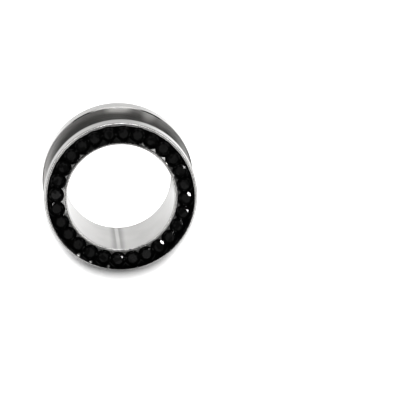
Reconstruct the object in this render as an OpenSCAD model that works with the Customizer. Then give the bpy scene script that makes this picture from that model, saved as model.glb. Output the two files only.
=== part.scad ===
// Screw-fit ear tunnel with a ring of stones set in its front flange
// The tunnel lies on its back flange, its axis is +Z and the stones face up

/* [Tube] */
// Outside diameter of the tube, the size that the ear is stretched to
tube_d = 16; // [15:0.1:18]
// Thickness of the tube's wall
tube_wall = 0.83; // [0.75:0.01:1]
// Length of bare tube between the two flanges
lobe_gap = 7; // [5:0.1:12]
// Length of the raised collar beside the gem flange
collar_l = 0.6; // [0.3:0.05:1]
// Height of the collar above the tube
collar_h = 0.22; // [0.1:0.01:0.35]
// Wall of the thin sleeve that lines the gem flange
sleeve_wall = 0.17; // [0.14:0.01:0.25]

/* [Flanges] */
// Thickness of the gem flange
gem_flange_t = 2.05; // [1.8:0.05:3]
// Thickness of the back flange
back_flange_t = 2.25; // [1.8:0.05:3]
// Width of the chamfer on each flange's lobe side
lobe_chamfer = 0.15; // [0.1:0.05:0.6]
// Rounding of the gem flange's front edge
rim_round = 0.16; // [0.1:0.01:0.22]
// Rounding of the back flange's and the bore's edges
edge_round = 0.1; // [0.06:0.01:0.12]

/* [Stones] */
// Number of stones in the ring
stone_count = 28; // [24:1:32]
// Gap between the girdles of two stones
stone_gap = 0.05; // [0.03:0.01:0.1]
// Width of a stone's table as a share of its diameter
table_share = 0.64; // [0.55:0.01:0.7]
// Slope of the main crown facets in degrees
crown_angle = 34; // [28:1:38]
// Slope of the main pavilion facets in degrees
pavilion_angle = 41; // [36:1:43]
// Thickness of the girdle
girdle_t = 0.04; // [0.03:0.01:0.08]
// Largest tilt of a stone in its seat in degrees
stone_tilt = 3.2; // [0:0.1:4]

/* [Setting] */
// Play between a stone's girdle and the wall of its seat
seat_play = 0.2; // [0.1:0.01:0.25]
// Width of metal between the seats and the flange's outer edge
outer_rim = 0.35; // [0.25:0.01:0.8]
// Width of metal between the seats and the hole for the sleeve
inner_rim = 0.13; // [0.1:0.01:0.3]
// Depth of the stones' tables below the flange's face
table_drop = 0.05; // [0.02:0.01:0.15]
// Width of the ledge under a stone's girdle
ledge_w = 0.37; // [0.3:0.01:0.4]
// Distance that the channel reaches inward from the outer wall of the seats
channel_w = 1.8; // [1.2:0.05:1.9]
// Depth of the channel, which lowers the metal between the stones
channel_depth = 0.22; // [0.1:0.01:0.3]
// Direction of the first stone in degrees
first_stone_angle = 87.8; // [0:0.1:360]

/* [Thread] */
// Distance from one thread ridge to the next
thread_pitch = 0.5; // [0.4:0.05:0.7]
// Depth of the thread
thread_depth = 0.12; // [0.08:0.01:0.2]
// Step from the tube down to the thread's crest
shoulder_h = 0.12; // [0.1:0.01:0.2]
// Depth of the counterbore in the back face
counterbore_depth = 0.45; // [0.3:0.05:0.6]
// Depth of the tube's end below the back face
end_recess = 0.15; // [0.05:0.01:0.25]

/* [Clearances] */
// Radial clearance between the two threads
thread_play = 0.05; // [0.03:0.01:0.08]
// Radial gap between the sleeve and the gem flange
sleeve_gap = 0.03; // [0.02:0.01:0.05]
// Gap between faces that meet end to end
face_gap = 0.02; // [0.01:0.01:0.05]
// Gap between a stone and the ledge that carries it
ledge_gap = 0.08; // [0.06:0.01:0.12]
// Depth of the hole below a stone's point
point_gap = 0.15; // [0.05:0.01:0.3]
// Rounding of the two edges where the sleeve ends in the flange's face
joint_round = 0.06; // [0.04:0.01:0.08]
// Gap between the counterbore and the tube's diameter
counterbore_gap = 0.05; // [0.02:0.01:0.1]

/* [Hidden] */
// Sides of the turned pieces and of the seats
circle_steps = 120;
seat_steps = 40;
// How far a cut runs past the face that it starts from
cut_over = 1;
// Step between the channel's wall and the seats' walls below it
wall_step = 0.02;

// Radii from the bore outward
tube_r = tube_d / 2;
bore_r = tube_r - tube_wall;
sleeve_r = bore_r + sleeve_wall;
gem_hole_r = sleeve_r + sleeve_gap;

// The stones fill the ring side by side, so its radius and their size follow from their number
half_pitch = 180 / stone_count;
ring_r = (gem_hole_r + inner_rim + seat_play - stone_gap / 2) / (1 - sin(half_pitch));
stone_d = 2 * ring_r * sin(half_pitch) - stone_gap;
seat_r = stone_d / 2 + seat_play;
point_hole_r = seat_r - ledge_w;
channel_r = ring_r + seat_r + wall_step;
flange_r = channel_r + outer_rim;
crest_r = tube_r - shoulder_h;
nut_r = crest_r + thread_play;
counterbore_r = tube_r + counterbore_gap;

// Heights from the back face up
lobe_end = back_flange_t + lobe_gap;
face_z = lobe_end + gem_flange_t;

// Points of a rounded corner, a quarter turn that starts at the given direction
corner_steps = 3;
function corner(x, z, radius, start) = [
    for (k = [0 : corner_steps])
        [x + radius * cos(start + 90 * k / corner_steps), z + radius * sin(start + 90 * k / corner_steps)]
];

function two_digits(n) = n < 10 ? str("0", n) : str(n);
function stone_name(i) = str("stone_", two_digits(i + 1));

// One stone, with its girdle's upper edge at height 0, and its number of main facets above and below
mains = 8;
girdle_r = stone_d / 2;
table_r = girdle_r * table_share;
crown_h = (girdle_r - table_r) * tan(crown_angle);
pavilion_h = girdle_r * tan(pavilion_angle);
// Where the star facets and the lower girdle facets end, as shares of the girdle's radius
star_share = 0.8;
lower_share = 0.3;
half_step = 180 / mains;
star_r = girdle_r * star_share;
lower_r = girdle_r * lower_share;
star_z = crown_h * (girdle_r - star_r * cos(half_step)) / (girdle_r - table_r);
lower_z = -girdle_t - pavilion_h * (girdle_r - lower_r * cos(half_step)) / girdle_r;

function ring_points(count, r, z, turn = 0) =
    [for (k = [0 : count - 1]) [r * cos(turn + 360 * k / count), r * sin(turn + 360 * k / count), z]];

// Index of the first point of each row in the stone's list of points
table_row = 0;
star_row = mains;
upper_row = 2 * mains;
under_row = 4 * mains;
lower_row = 6 * mains;
point_row = 7 * mains;

stone_points = concat(
    ring_points(mains, table_r, crown_h),
    ring_points(mains, star_r, star_z, half_step),
    ring_points(2 * mains, girdle_r, 0),
    ring_points(2 * mains, girdle_r, -girdle_t),
    ring_points(mains, lower_r, lower_z, half_step),
    [[0, 0, -girdle_t - pavilion_h]]
);

function at(row, count, k) = row + (k + count) % count;

stone_faces = concat(
    [[for (k = [mains - 1 : -1 : 0]) table_row + k]],
    [for (k = [0 : mains - 1]) [at(table_row, mains, k), at(table_row, mains, k + 1), star_row + k]],
    [for (k = [0 : mains - 1])
        [table_row + k, star_row + k, at(upper_row, 2 * mains, 2 * k), at(star_row, mains, k - 1)]],
    [for (k = [0 : mains - 1])
        [star_row + k, at(upper_row, 2 * mains, 2 * k + 1), at(upper_row, 2 * mains, 2 * k)]],
    [for (k = [0 : mains - 1])
        [star_row + k, at(upper_row, 2 * mains, 2 * k + 2), at(upper_row, 2 * mains, 2 * k + 1)]],
    [for (k = [0 : 2 * mains - 1])
        [at(upper_row, 2 * mains, k), at(upper_row, 2 * mains, k + 1),
         at(under_row, 2 * mains, k + 1), at(under_row, 2 * mains, k)]],
    [for (k = [0 : mains - 1])
        [lower_row + k, at(under_row, 2 * mains, 2 * k), at(under_row, 2 * mains, 2 * k + 1)]],
    [for (k = [0 : mains - 1])
        [lower_row + k, at(under_row, 2 * mains, 2 * k + 1), at(under_row, 2 * mains, 2 * k + 2)]],
    [for (k = [0 : mains - 1])
        [at(under_row, 2 * mains, 2 * k), lower_row + k, point_row, at(lower_row, mains, k - 1)]]
);

// Places in the ring, clockwise as seen from above
girdle_z = face_z - table_drop - crown_h;
function stone_angle(i) = first_stone_angle - 360 * i / stone_count;
// Each stone is turned and tilted a little its own way by a simple rule
turn_rule = 20;
tilt_rule = 159;
lean_rule = 39;
function stone_turn(i) = i * turn_rule;
function stone_lean(i) = stone_tilt * sin(i * tilt_rule);

// The thread is a row of plain ridges between a radius at its root and one at its crest,
// whose crest runs between two shares of the pitch
crest_start = 0.4;
crest_end = 0.6;
function ridges(first, last) = floor((last - first) / thread_pitch);
function ridge_points(first, count, root, crest) = [
    for (k = [0 : count - 1])
        for (p = [[root, 0], [crest, crest_start], [crest, crest_end], [root, 1]])
            [p[0], first + (k + p[1]) * thread_pitch]
];

module turned(outline) {
    rotate_extrude($fn = circle_steps) polygon(outline);
}

module barrel() {
    thread_start = end_recess + 2 * edge_round;
    thread_end = back_flange_t - 2 * edge_round;
    count = ridges(thread_start, thread_end);
    root_r = crest_r - thread_depth;
    outline = concat(
        corner(bore_r + edge_round, end_recess + edge_round, edge_round, 180),
        corner(root_r - edge_round, end_recess + edge_round, edge_round, 270),
        ridge_points(thread_start, count, root_r, crest_r),
        [[root_r, back_flange_t + face_gap],
         [tube_r, back_flange_t + face_gap],
         [tube_r, lobe_end - face_gap - collar_l],
         [tube_r + collar_h, lobe_end - face_gap - collar_l],
         [tube_r + collar_h, lobe_end - face_gap],
         [sleeve_r, lobe_end - face_gap]],
        corner(sleeve_r - joint_round, face_z - joint_round, joint_round, 0),
        corner(bore_r + edge_round, face_z - edge_round, edge_round, 90)
    );
    color("silver") turned(outline);
}

// One seat, with the hole below it that clears the stone's point
module seat() {
    ledge_depth = table_drop + crown_h + girdle_t + (ledge_w - seat_play) * tan(pavilion_angle) + ledge_gap;
    point_depth = table_drop + crown_h + girdle_t + pavilion_h + point_gap;
    translate([0, 0, -ledge_depth]) cylinder(r = seat_r, h = ledge_depth + cut_over, $fn = seat_steps);
    translate([0, 0, -point_depth]) cylinder(r = point_hole_r, h = point_depth, $fn = seat_steps);
}

module channel() {
    translate([0, 0, -channel_depth]) difference() {
        cylinder(r = channel_r, h = channel_depth + cut_over, $fn = circle_steps);
        translate([0, 0, -cut_over])
            cylinder(r = channel_r - channel_w, h = channel_depth + 3 * cut_over, $fn = circle_steps);
    }
}

module gem_flange() {
    outline = concat(
        corner(gem_hole_r + edge_round, lobe_end + edge_round, edge_round, 180),
        [[flange_r - lobe_chamfer, lobe_end], [flange_r, lobe_end + lobe_chamfer]],
        corner(flange_r - rim_round, face_z - rim_round, rim_round, 0),
        corner(gem_hole_r + joint_round, face_z - joint_round, joint_round, 90)
    );
    color("silver") difference() {
        turned(outline);
        translate([0, 0, face_z]) {
            channel();
            for (i = [0 : stone_count - 1]) rotate([0, 0, stone_angle(i)]) translate([ring_r, 0, 0]) seat();
        }
    }
}

module back_flange() {
    thread_start = counterbore_depth + edge_round;
    thread_end = back_flange_t - 2 * edge_round;
    count = ridges(thread_start, thread_end);
    grooves = ridge_points(thread_start, count, nut_r, nut_r + thread_depth);
    outline = concat(
        corner(counterbore_r + edge_round, edge_round, edge_round, 180),
        corner(flange_r - edge_round, edge_round, edge_round, 270),
        [[flange_r, back_flange_t - lobe_chamfer], [flange_r - lobe_chamfer, back_flange_t],
         [nut_r, back_flange_t]],
        [for (k = [len(grooves) - 1 : -1 : 0]) grooves[k]],
        [[nut_r, counterbore_depth], [counterbore_r, counterbore_depth]]
    );
    color("silver") turned(outline);
}

module stone(i) {
    color("black") rotate([0, 0, stone_angle(i)]) translate([ring_r, 0, girdle_z])
        rotate([0, 0, i * lean_rule]) rotate([stone_lean(i), 0, 0]) rotate([0, 0, stone_turn(i)])
            polyhedron(stone_points, stone_faces);
}

barrel();
gem_flange();
back_flange();
for (i = [0 : stone_count - 1]) stone(i);
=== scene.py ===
import math
import bpy
from mathutils import Matrix, Vector


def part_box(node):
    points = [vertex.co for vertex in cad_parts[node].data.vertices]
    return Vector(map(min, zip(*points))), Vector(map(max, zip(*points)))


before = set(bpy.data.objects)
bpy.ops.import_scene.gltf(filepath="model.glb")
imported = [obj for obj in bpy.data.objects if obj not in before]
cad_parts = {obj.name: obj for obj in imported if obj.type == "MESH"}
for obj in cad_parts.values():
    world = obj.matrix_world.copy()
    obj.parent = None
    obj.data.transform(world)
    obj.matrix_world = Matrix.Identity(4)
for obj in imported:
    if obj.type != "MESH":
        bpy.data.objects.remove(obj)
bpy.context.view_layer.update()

MM = 0.001
UP = (0.0, 0.0, 1.0)
WHITE = (1, 1, 1, 1)

# Heights and radii of the part, in metres, for masks in the materials
FACE_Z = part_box("gem_flange")[1].z
GEM_LOW_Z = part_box("gem_flange")[0].z
FLANGE_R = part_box("gem_flange")[1].x
BACK_TOP_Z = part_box("back_flange")[1].z
BORE_R = 7.17 * MM
BORE_ROUND = 0.10 * MM
RIM_ROUND = 0.16 * MM
# The stones' channel: its inner and outer radius, the end of the points of metal that reach in
# between the stones from the bore's side, and the radius where the channel's outer half starts
SEAT_INNER_R = 7.50 * MM
SEAT_OUTER_R = 9.79 * MM
POINTS_END_R = 8.05 * MM
OUTER_HALF_R = 9.0 * MM
# The outer rim: its inner edge, and the radius beyond which it is the flange's side
RIM_EDGE_R = 9.86 * MM
RIM_SIDE_R = 10.0 * MM

# Steepest slopes of the rims of the face: the two domes, and the outer rim's inner edge
INNER_DOME = 0.085
OUTER_DOME = 0.05
INNER_SLOPE = 0.08

# Spots of painted light and shade on the steel, in the part's coordinates and in millimetres
UNSHADED_SPOTS = (  # x, y, reach
    (-5.55, -7.93, 0.3), (-3.95, -8.86, 0.25), (-1.6, -9.55, 0.25),
)
BACK_PAINTED_SPOTS = (  # x, y, reach, how much paler
    (4.1, 8.8, 1.3, 0.4), (7.4, 6.4, 2.8, -0.16),
)
# The steel is slightly warm, and the painted shade between the stones is nearly black
WARM_RED = 1.01
WARM_BLUE = 0.985
SHADE_BLACK = (0.004, 0.004, 0.004, 1)
# Marks of the lathe: how much finer they are across the turning direction, and how fast the coarse
# and the fine ones change along it
MARKS_ACROSS = 30.0
COARSE_ALONG = 0.02
FINE_ALONG = 0.004

# The camera's own directions, its place in millimetres and its lens
CAMERA_RIGHT = Vector((0.99832, 0.00751, 0.05742))
CAMERA_UP = Vector((0.00751, 0.96641, -0.25688))
CAMERA_PLACE = Vector((-23.938, 153.691, 590.285))
SENSOR_WIDTH = 36
LENS = 406.87

# Floor: its size in metres, and how the strip on it follows from the one that the bore's wall mirrors
FLOOR_SIZE = 6
STRIP_STEP = 0.2748     # way in from the wall on the floor, for each unit of height on the wall
STRIP_LEAN = 0.0409     # way to the side, for each unit of height
STRIP_NARROWING = 76.7  # share of the width that is lost for each metre of height
STRIP_MIDDLE = -0.19 * MM
# Distances from its middle to which the strip is pale, where it is darkest and where it ends
STRIP_PALE = 0.14 * MM
STRIP_DARKEST = 0.32 * MM
STRIP_END = 1.2 * MM

# Part of the sky that the flat faces mirror to the camera, and the way up from there
MIRRORED = (0.040, -0.258, 0.965)
SKY_UP = (0.0, 0.966, 0.258)

# Lamps: their distance in metres, and the radiance of the small ones and of the wide panels
LAMP_DISTANCE = 0.6
SPARK = 45.0
PANEL = 0.5
SPARKS = (  # direction and size of each small lamp that makes a stone glint
    ((0.647, 0.536, 0.543), 0.028), ((0.565, 0.755, 0.333), 0.022), ((0.608, 0.617, 0.500), 0.028),
    ((0.495, 0.832, 0.252), 0.028), ((0.592, 0.060, 0.804), 0.006), ((-0.548, 0.718, 0.429), 0.026),
    ((0.668, 0.566, 0.484), 0.009), ((0.583, 0.026, 0.812), 0.012),
)
PANEL_WIDTH = 1.2
PANELS = (  # direction and height of each wide dim panel
    ((1, 0, 0.466), 0.5), ((-1, 0, 0.466), 0.5), ((0, -1, 0.466), 0.5), ((0, 1, 0.7), 0.3),
)


# Camera

def make_camera():
    data = bpy.data.cameras.new("camera")
    data.sensor_width = SENSOR_WIDTH
    data.lens = LENS
    data.clip_start = 0.01
    data.clip_end = 20
    camera = bpy.data.objects.new("camera", data)
    bpy.context.scene.collection.objects.link(camera)
    back = CAMERA_RIGHT.cross(CAMERA_UP)
    turn = Matrix((CAMERA_RIGHT, CAMERA_UP, back)).transposed()
    camera.matrix_world = Matrix.Translation(CAMERA_PLACE * MM) @ turn.to_4x4()
    bpy.context.scene.camera = camera


# Node helpers

class Graph:
    """Short calls that add nodes and links to one node tree."""

    def __init__(self, tree):
        self.tree = tree
        tree.nodes.clear()

    def add(self, kind, inputs=None, **settings):
        node = self.tree.nodes.new(kind)
        for key, value in settings.items():
            setattr(node, key, value)
        for key, value in (inputs or {}).items():
            socket = node.inputs[key]
            if isinstance(value, bpy.types.NodeSocket):
                self.tree.links.new(value, socket)
            else:
                socket.default_value = value
        return node

    # Numbers

    def math(self, operation, a, b=0.0):
        return self.add("ShaderNodeMath", {0: a, 1: b}, operation=operation).outputs[0]

    def chain(self, operation, first, *others):
        for other in others:
            first = self.math(operation, first, other)
        return first

    def plus(self, *terms):
        return self.chain("ADD", *terms)

    def minus(self, *terms):
        return self.chain("SUBTRACT", *terms)

    def times(self, *factors):
        return self.chain("MULTIPLY", *factors)

    def largest(self, *values):
        return self.chain("MAXIMUM", *values)

    def above(self, value, limit):
        return self.math("GREATER_THAN", value, limit)

    def blend(self, factor, a, b):
        return self.plus(a, self.times(factor, self.minus(b, a)))

    def cut(self, value, mask, share=1.0):
        """The value, less a share of it where the mask is."""
        return self.times(value, self.minus(1.0, self.times(mask, share)))

    def ramp(self, value, low, high, out_low=0.0, out_high=1.0):
        node = self.add("ShaderNodeMapRange", {
            "Value": value, "From Min": low, "From Max": high, "To Min": out_low, "To Max": out_high,
        }, interpolation_type="SMOOTHSTEP", clamp=True)
        return node.outputs[0]

    # Vectors

    def vector(self, operation, a, b=None, scale=None):
        inputs = {0: a}
        if b is not None:
            inputs[1] = b
        if scale is not None:
            inputs["Scale"] = scale
        return self.add("ShaderNodeVectorMath", inputs, operation=operation).outputs["Vector"]

    def along(self, vector, direction):
        node = self.add("ShaderNodeVectorMath", {0: vector, 1: direction}, operation="DOT_PRODUCT")
        return node.outputs["Value"]

    def side(self, vector, direction, low, high, out_low=0.0, out_high=1.0):
        """A ramp of how far a vector points in one direction."""
        return self.ramp(self.along(vector, direction), low, high, out_low, out_high)

    def spot(self, place, centre, reach):
        away = self.add("ShaderNodeVectorMath", {0: place, 1: centre}, operation="DISTANCE")
        return self.ramp(away.outputs["Value"], reach, 0.2 * reach)

    def combine(self, x, y, z):
        return self.add("ShaderNodeCombineXYZ", {0: x, 1: y, 2: z}).outputs[0]

    def normal(self):
        return self.add("ShaderNodeNewGeometry").outputs["Normal"]

    # Patterns, colours and surfaces

    def noise(self, vector, scale, detail, rough):
        node = self.add("ShaderNodeTexNoise", {
            "Vector": vector, "Scale": scale, "Detail": detail, "Roughness": rough,
        })
        return node.outputs["Fac"]

    def colour(self, red, green, blue):
        return self.add("ShaderNodeCombineColor", {0: red, 1: green, 2: blue}).outputs[0]

    def bump(self, normal, height, strength, distance):
        node = self.add("ShaderNodeBump", {
            "Strength": strength, "Distance": distance, "Height": height, "Normal": normal,
        })
        return node.outputs["Normal"]

    def surface(self, inputs):
        shader = self.add("ShaderNodeBsdfPrincipled", inputs)
        self.add("ShaderNodeOutputMaterial", {"Surface": shader.outputs[0]})


class Place:
    """Where a point of a surface lies, from the part's origin and round its axis."""

    def __init__(self, g):
        self.point = g.add("ShaderNodeTexCoord").outputs["Object"]
        self.x, self.y, self.z = g.add("ShaderNodeSeparateXYZ", {0: self.point}).outputs
        self.flat = g.combine(self.x, self.y, 0.0)
        self.radius = g.add("ShaderNodeVectorMath", {0: self.flat}, operation="LENGTH").outputs["Value"]
        self.direction = g.vector("NORMALIZE", self.flat)


def material(name):
    made = bpy.data.materials.new(name)
    made.use_nodes = True
    return made, Graph(made.node_tree)


# Steel

def turning_marks(g, at):
    """The coarse and the fine marks of the lathe, which run round the axis."""
    rings = g.combine(g.times(at.radius, MARKS_ACROSS), g.times(at.z, MARKS_ACROSS), 0.0)
    coarse_at = g.vector("ADD", rings, g.vector("SCALE", at.direction, scale=COARSE_ALONG))
    fine_at = g.vector("ADD", rings, g.vector("SCALE", at.direction, scale=FINE_ALONG))
    return g.noise(coarse_at, 420.0, 4.0, 0.6), g.noise(fine_at, 1500.0, 2.0, 0.5)


def channel_shade(g, at, right):
    """Painted shade: everything between the stones that lies below the flange's face is painted dark, but
    for a few spots.
    """
    # On the outer side the painted shade ends short of the rim at the top and reaches on to it at the
    # bottom
    top = (-0.2, 0.98, 0.0)
    drift = g.times(g.along(at.direction, top), -0.15 * MM)
    off_wall = g.minus(at.radius, SEAT_OUTER_R, drift)
    # The painted shade leaves the inner rim bare widest on the right, and a little wider in the lower half
    low_side = g.ramp(at.y, 2.0 * MM, -2.0 * MM)
    from_rim = g.minus(at.radius, g.times(right, 0.09 * MM), g.times(low_side, 0.02 * MM))
    in_ring = g.times(g.ramp(from_rim, SEAT_INNER_R - 0.03 * MM, SEAT_INNER_R + 0.02 * MM),
                      g.ramp(off_wall, 0.03 * MM, 0.0))
    below = g.largest(g.ramp(at.z, FACE_Z - 0.01 * MM, FACE_Z - 0.04 * MM),
                      g.above(at.radius, OUTER_HALF_R))
    # Spots where the painted shade is left off
    unshaded = g.largest(*[g.spot(at.flat, (x * MM, y * MM, 0.0), reach * MM) for x, y, reach in UNSHADED_SPOTS])
    unshaded = g.times(unshaded, g.ramp(at.z, FACE_Z - 0.26 * MM, FACE_Z - 0.2 * MM))
    return g.cut(g.times(in_ring, below), unshaded)


def find_bright_tips(g, at):
    """The tips of the points of metal stay bright at the upper right and the upper left."""
    upper_right = g.side(at.direction, (0.62, 0.785, 0.0), 0.93, 0.97)
    upper_left = g.side(at.direction, (-0.92, 0.39, 0.0), 0.82, 0.90, 0.0, 0.6)
    tips = g.ramp(at.radius, SEAT_INNER_R + 0.05 * MM, SEAT_INNER_R + 0.15 * MM)
    return g.times(g.largest(upper_right, upper_left), tips)


def shaded_points(g, at, bright_tips):
    """The painted shade also covers most of the points of metal between the stones on the bore's side."""
    # It reaches over the rim's edge at the top
    top = (-0.26, 0.966, 0.0)
    overreach = g.times(g.side(at.direction, top, 0.45, 0.8), 0.14 * MM)
    from_edge = g.minus(g.plus(at.radius, overreach), SEAT_INNER_R)
    points = g.times(g.ramp(from_edge, -0.01 * MM, 0.07 * MM),
                     g.ramp(at.radius, POINTS_END_R + 0.05 * MM, POINTS_END_R))
    # It covers them most at the top, and least at the upper right and the left
    shaded_share = g.side(at.direction, (-0.18, 0.98, 0.0), 0.65, 0.92, 0.62, 0.95)
    for clear in ((0.64, 0.77, 0.0), (-0.998, -0.07, 0.0)):
        shaded_share = g.times(shaded_share, g.side(at.direction, clear, 0.945, 0.985, 1.0, 0.15))
    return g.times(points, g.cut(shaded_share, bright_tips))


def back_painted_light(g, at):
    """The back flange's upward face: painted shade darker towards the top, with paler and darker spots."""
    upward = (0.3, 0.95, 0.0)
    back_shade = g.side(at.flat, upward, -5.5 * MM, 1.0 * MM, 0.85, 0.40)
    # The paler spots are painted highlights and the darker one painted shade
    for x, y, reach, paler in BACK_PAINTED_SPOTS:
        spot = g.spot(at.flat, (x * MM, y * MM, 0.0), reach * MM)
        back_shade = g.plus(back_shade, g.times(spot, paler))
    # Towards its edge it has a painted highlight at the very top, and elsewhere it is painted a little
    # paler
    edge = g.ramp(at.radius, 9.0 * MM, 9.9 * MM)
    top_highlight = g.times(g.spot(at.flat, (0.0, 10.3 * MM, 0.0), 2.4 * MM), g.blend(edge, 0.1, 1.5))
    shade = g.times(g.blend(edge, -0.10, 0.08), g.ramp(at.x, -9.0 * MM, -5.0 * MM, 2.0, 1.0))
    return g.plus(back_shade, top_highlight, shade)


def steel_tone(g, at, on_back, marks):
    tone = g.ramp(g.noise(at.point, 260.0, 3.0, 0.5), 0.3, 0.7, 0.52, 0.58)
    # The back flange's upward face takes painted light and shade
    tone = g.times(tone, g.blend(on_back, 1.0, back_painted_light(g, at)))
    # Painted shade: the gem flange's rim is a little darker at the top, its lower edge darker at the upper
    # left
    on_rim = g.times(g.above(at.z, GEM_LOW_Z), g.above(at.radius, RIM_SIDE_R))
    top = g.side(at.direction, (0.1, 0.995, 0.0), 0.75, 0.97)
    upper_left = g.side(at.direction, (-0.5, 0.866, 0.0), 0.2, 0.6)
    top_shade = g.times(on_rim, top)
    low_edge_shade = g.times(on_rim, g.ramp(at.z, GEM_LOW_Z + 0.4 * MM, GEM_LOW_Z + 0.15 * MM), upper_left)
    tone = g.cut(g.cut(tone, top_shade, 0.2), low_edge_shade, 0.5)
    return g.plus(tone, g.ramp(marks, 0.3, 0.7, -0.03, 0.03))


def steel_roughness(g, at, on_back, marks):
    specks = g.noise(at.point, 4200.0, 2.0, 0.5)
    turned = g.plus(g.ramp(marks, 0.25, 0.75, 0.08, 0.12), g.ramp(specks, 0.6, 0.8, 0.0, 0.02))
    satin = g.ramp(g.noise(at.point, 170.0, 1.0, 0.5), 0.3, 0.7, 0.29, 0.33)
    # The bore is polished smoother than the rest
    in_bore = g.ramp(at.radius, BORE_R + 0.01 * MM, BORE_R + 0.02 * MM, 0.4, 1.0)
    return g.times(g.blend(on_back, turned, satin), in_bore)


def rim_domes(g, at, inner, right, bright_tips):
    """Slopes that the polish gave the two rims of the face between their roundings."""
    from_edge = g.minus(at.radius, RIM_EDGE_R)
    outer_dome = g.minus(g.ramp(from_edge, 0.02 * MM, 0.12 * MM, 0.0, OUTER_DOME),
                         g.ramp(from_edge, 0.08 * MM, 0.0, 0.0, INNER_SLOPE))
    # The inner rim's dome is wider on the right
    from_bore = g.minus(at.radius, g.times(right, 0.13 * MM))
    inner_dome = g.ramp(from_bore, SEAT_INNER_R, BORE_R + 0.09 * MM, 0.0, INNER_DOME)
    # The bright tips are tilted like the rim's edge, and on the left the whole rim is, a little less
    left = g.side(at.direction, (-0.998, -0.06, 0.0), 0.955, 0.985, 0.0, 0.85)
    tilted = g.times(g.largest(bright_tips, left), INNER_DOME)
    return g.blend(inner, outer_dome, g.largest(inner_dome, tilted))


def face_normal(g, at, right, bright_tips):
    """The two rounded edges of the face are truly round, and its rims are slightly domed."""
    inner = g.math("LESS_THAN", at.radius, (BORE_R + FLANGE_R) / 2)
    outward = g.blend(inner, 1.0, -1.0)
    off_r = g.minus(at.radius, g.blend(inner, FLANGE_R - RIM_ROUND, BORE_R + BORE_ROUND))
    off_z = g.minus(at.z, g.blend(inner, FACE_Z - RIM_ROUND, FACE_Z - BORE_ROUND))
    rounding = g.math("DIVIDE", g.times(off_r, outward), g.largest(off_z, 0.001 * MM))
    dome = rim_domes(g, at, inner, right, bright_tips)
    slope = g.times(g.largest(rounding, dome), outward)
    turned = g.vector("ADD", g.vector("SCALE", at.direction, scale=slope), UP)
    cad_normal = g.normal()
    is_flat = g.above(g.along(cad_normal, UP), 0.9)
    is_top = g.times(g.above(off_z, 0.0), g.largest(is_flat, g.above(rounding, 0.0)))
    chosen = g.add("ShaderNodeMix", {0: is_top, 4: cad_normal, 5: g.vector("NORMALIZE", turned)},
                   data_type="VECTOR")
    return chosen.outputs[1]


def make_steel():
    made, g = material("turned_steel")
    at = Place(g)
    marks, fine = turning_marks(g, at)
    # Masks of the right side, the gem flange, the back flange's upward face and the bright tips
    right = g.side(at.direction, (1.0, -0.1, 0.0), 0.6, 0.95)
    on_gem_flange = g.ramp(at.z, GEM_LOW_Z, GEM_LOW_Z + 0.1 * MM)
    on_back = g.times(g.ramp(at.z, BACK_TOP_Z - 0.05 * MM, BACK_TOP_Z - 0.01 * MM),
                      g.ramp(at.z, BACK_TOP_Z + 0.05 * MM, BACK_TOP_Z + 0.01 * MM))
    bright_tips = find_bright_tips(g, at)

    # Painted shade between the stones and over the points of metal beside them
    dark = g.largest(channel_shade(g, at, right), shaded_points(g, at, bright_tips))
    dark = g.times(dark, on_gem_flange)
    tone = steel_tone(g, at, on_back, marks)
    bright = g.colour(g.times(tone, WARM_RED), tone, g.times(tone, WARM_BLUE))
    colour = g.add("ShaderNodeMix", {0: dark, 6: bright, 7: SHADE_BLACK}, data_type="RGBA").outputs[2]

    # The polish leaves the faces a little wavy, and the turning marks stand out a little
    wavy = g.bump(face_normal(g, at, right, bright_tips), g.noise(at.point, 300.0, 1.0, 0.4),
                  1.0, 0.005 * MM)
    marked = g.bump(wavy, g.plus(marks, g.times(fine, 0.5)), 0.12, 0.004 * MM)
    rough = steel_roughness(g, at, on_back, marks)
    g.surface({"Base Color": colour, "Metallic": 1.0, "Roughness": rough, "Normal": marked})
    return made


# Stones

def make_stone():
    made, g = material("black_glass")
    place = g.add("ShaderNodeTexCoord").outputs["Object"]
    haze = g.noise(place, 900.0, 3.0, 0.6)
    dust = g.noise(place, 5200.0, 2.0, 0.6)
    rough = g.plus(g.ramp(haze, 0.35, 0.7, 0.03, 0.07), g.ramp(dust, 0.66, 0.85, 0.0, 0.1))
    tone = g.ramp(dust, 0.6, 0.85, 0.0005, 0.004)
    # Each table has darker patches with sharp edges, like facets that are seen through it
    patches = g.add("ShaderNodeTexVoronoi", {"Vector": place, "Scale": 1250.0}).outputs["Color"]
    patch = g.add("ShaderNodeSeparateColor", {0: patches}).outputs[0]
    is_table = g.above(g.along(g.normal(), UP), 0.97)
    mirror = g.blend(is_table, 0.5, g.ramp(patch, 0.18, 0.45, 0.15, 0.5))
    g.surface({
        "Base Color": g.colour(tone, tone, tone), "Roughness": rough, "IOR": 1.52,
        "Specular IOR Level": mirror,
    })
    return made


def dress(node, made):
    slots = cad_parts[node].data.materials
    slots.clear()
    slots.append(made)


# Floor

def bore_reflection_strip(g, at, inside):
    """Painted reflection: one pale strip between two darker ones, which the bore's wall mirrors as upright.
    """
    height = g.math("DIVIDE", g.plus(at.y, BORE_R), STRIP_STEP)
    strip_x = g.math("DIVIDE", g.minus(at.x, g.times(height, STRIP_LEAN)),
                     g.largest(g.minus(1.0, g.times(height, STRIP_NARROWING)), 0.1))
    away = g.math("ABSOLUTE", g.minus(strip_x, STRIP_MIDDLE))
    darker = g.times(g.ramp(away, STRIP_PALE, STRIP_DARKEST), g.ramp(away, STRIP_END, STRIP_DARKEST))
    # It starts at the lower wall and ends well before the middle of the bore
    darker = g.times(darker, inside, g.ramp(at.y, -3.6 * MM, -4.0 * MM))
    return g.cut(1.0, darker, 0.36)


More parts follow.
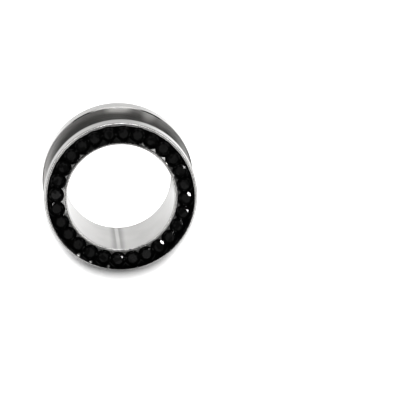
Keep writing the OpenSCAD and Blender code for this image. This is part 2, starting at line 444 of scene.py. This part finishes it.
def sides_glow(g, at, beyond):
    """Painted light: the floor glows where the steel mirrors it beside the flanges' upper half and at the
    left.
    """
    off_middle = g.along(at.direction, (-0.139, 0.99, 0.0))
    beside = g.times(g.ramp(off_middle, 0.97, 0.6), g.ramp(off_middle, -0.5, 0.0))
    reach = g.ramp(at.x, -3.0 * MM, 3.0 * MM, 10.7 * MM, 13.6 * MM)
    beside = g.times(beside, g.ramp(g.minus(at.radius, reach), 0.6 * MM, 0.0),
                     g.ramp(at.radius, 9.0 * MM, 10.0 * MM))
    left = g.times(g.side(at.direction, (-0.94, -0.34, 0.0), 0.8, 0.95), beyond)
    return g.plus(g.times(beside, 0.42), g.times(left, 0.45))


def make_floor():
    made, g = material("pale_floor")
    at = Place(g)
    seen = g.add("ShaderNodeLightPath").outputs["Is Camera Ray"]
    # Masks of the floor inside the bore and beyond the flanges
    inside = g.ramp(at.radius, BORE_R + 0.2 * MM, BORE_R)
    beyond = g.ramp(at.radius, 12.0 * MM, 14.5 * MM)
    # Only rays that are not the camera's see the strip, a painted reflection for the bore's wall
    reflection_strip = bore_reflection_strip(g, at, inside)

    paper = g.ramp(g.noise(at.point, 40.0, 4.0, 0.5), 0.3, 0.7, -0.01, 0.01)
    tone = g.plus(g.blend(seen, g.times(reflection_strip, 0.6), 0.96), paper)
    # Painted shade: in front of the part the floor is darker in what the rim mirrors
    front_shade = g.times(g.side(at.direction, (-0.1, -0.995, 0.0), 0.90, 0.97), beyond)
    tone = g.cut(tone, front_shade, g.blend(seen, 0.85, 0.0))

    # Inside the bore the floor glows white for the camera. For the wall its glow grows to both sides,
    # with the turn away from one direction
    turn = g.math("ARCCOSINE", g.along(at.direction, (0.30, -0.954, 0.0)))
    turn = g.blend(g.ramp(at.radius, 3.4 * MM, 4.4 * MM), 1.4, turn)
    glow = g.times(inside, g.blend(seen, g.times(turn, 0.19, reflection_strip), 0.9))
    # Beside the part the floor glows for the camera, painted light that makes the shadow weaker than in
    # front of it
    shadow_lift = g.side(at.direction, (0.03, -1.0, 0.0), 0.97, 0.75, 0.0, 0.38)
    glow = g.plus(glow, g.blend(seen, sides_glow(g, at, beyond), shadow_lift))
    g.surface({
        "Base Color": g.colour(tone, tone, tone), "Roughness": 0.9, "Specular IOR Level": 0.1,
        "Emission Color": WHITE, "Emission Strength": glow,
    })

    bpy.ops.mesh.primitive_plane_add(size=FLOOR_SIZE, location=(0, 0, 0))
    floor = bpy.context.object
    floor.name = "floor"
    floor.data.materials.append(made)


# Light

def softbox(name, direction, width, height, radiance, lights="mirrors", only=None):
    """A softbox that faces the part, for what mirrors or for what doesn't, or for one group of pieces."""
    towards = Vector(direction).normalized()
    data = bpy.data.lights.new(name, "AREA")
    data.shape = "RECTANGLE"
    data.size = width
    data.size_y = height
    data.energy = radiance * math.pi * width * height
    lamp = bpy.data.objects.new(name, data)
    bpy.context.scene.collection.objects.link(lamp)
    lamp.location = Vector((0, 0, FACE_Z)) + towards * LAMP_DISTANCE
    lamp.rotation_mode = "QUATERNION"
    lamp.rotation_quaternion = towards.to_track_quat("Z", "Y")
    lamp.visible_camera = False
    lamp.visible_diffuse = lights == "matt"
    lamp.visible_glossy = lights == "mirrors"
    lamp.light_linking.receiver_collection = only


def group(name, pieces):
    made = bpy.data.collections.new(name)
    for piece in pieces:
        made.objects.link(piece)
    return made


def make_world():
    world = bpy.data.worlds.new("studio")
    world.use_nodes = True
    world.cycles.sampling_method = "NONE"
    bpy.context.scene.world = world
    g = Graph(world.node_tree)
    direction = g.add("ShaderNodeTexCoord").outputs["Generated"]
    x, y, height = g.add("ShaderNodeSeparateXYZ", {0: direction}).outputs
    near = g.along(direction, MIRRORED)
    within = g.ramp(near, 0.879, 0.914)
    # A wide horseshoe of soft light, round the part of the sky that the flat faces mirror
    shoe = g.times(within, g.ramp(near, 0.986, 0.974), g.side(direction, SKY_UP, -0.27, -0.15),
                   g.ramp(height, 0.9962, 0.990, 0.2, 1.0),
                   g.side(direction, (0.1, 0.961, 0.258), 0.14, 0.20, 0.7, 1.15))
    # Its light fades out inward to the left and the right
    sideways = g.math("ABSOLUTE", g.minus(x, MIRRORED[0]))
    glow = g.times(g.ramp(near, 0.9976, 0.978), g.ramp(sideways, 0.04, 0.10), within,
                   g.side(direction, SKY_UP, 0.10, -0.02, 0.3, 1.0))
    # A pale wall low behind the part
    wall = g.times(g.ramp(height, 0.30, 0.22), g.ramp(y, 0.86, 0.95))
    level = g.plus(g.ramp(height, 0.75, 0.98, 0.02, 0.22), g.times(shoe, 5.6), g.times(glow, 1.5),
                   g.times(wall, 1.7))
    # Matt surfaces and the camera see an even room instead
    path = g.add("ShaderNodeLightPath").outputs
    level = g.blend(path["Is Diffuse Ray"], level, 0.17)
    level = g.blend(path["Is Camera Ray"], level, 1.05)
    room = g.add("ShaderNodeBackground", {"Color": WHITE, "Strength": level})
    g.add("ShaderNodeOutputWorld", {"Surface": room.outputs[0]})


def make_lamps():
    stones = group("stones", [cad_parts[node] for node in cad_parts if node.startswith("stone")])
    metal = group("metal", [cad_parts[node] for node in ("barrel", "gem_flange", "back_flange")])
    softbox("floor_light", (-0.03, 0.322, 0.946), 0.08, 0.08, 238.0, lights="matt")
    softbox("rim_light", (0.0, 0.515, 0.857), 0.25, 0.05, 20.0, only=metal)
    for number, (direction, size) in enumerate(SPARKS):
        softbox(f"spark_{number}", direction, size, size, SPARK, only=stones)
    # The flat faces mirror the panels in low views
    for number, (direction, height) in enumerate(PANELS):
        softbox(f"panel_{number}", direction, PANEL_WIDTH, height, PANEL, only=metal)


# Scene

make_camera()
make_floor()
make_world()
make_lamps()
bpy.context.scene.view_settings.view_transform = "Standard"

steel = make_steel()
glass = make_stone()
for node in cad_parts:
    dress(node, glass if node.startswith("stone") else steel)
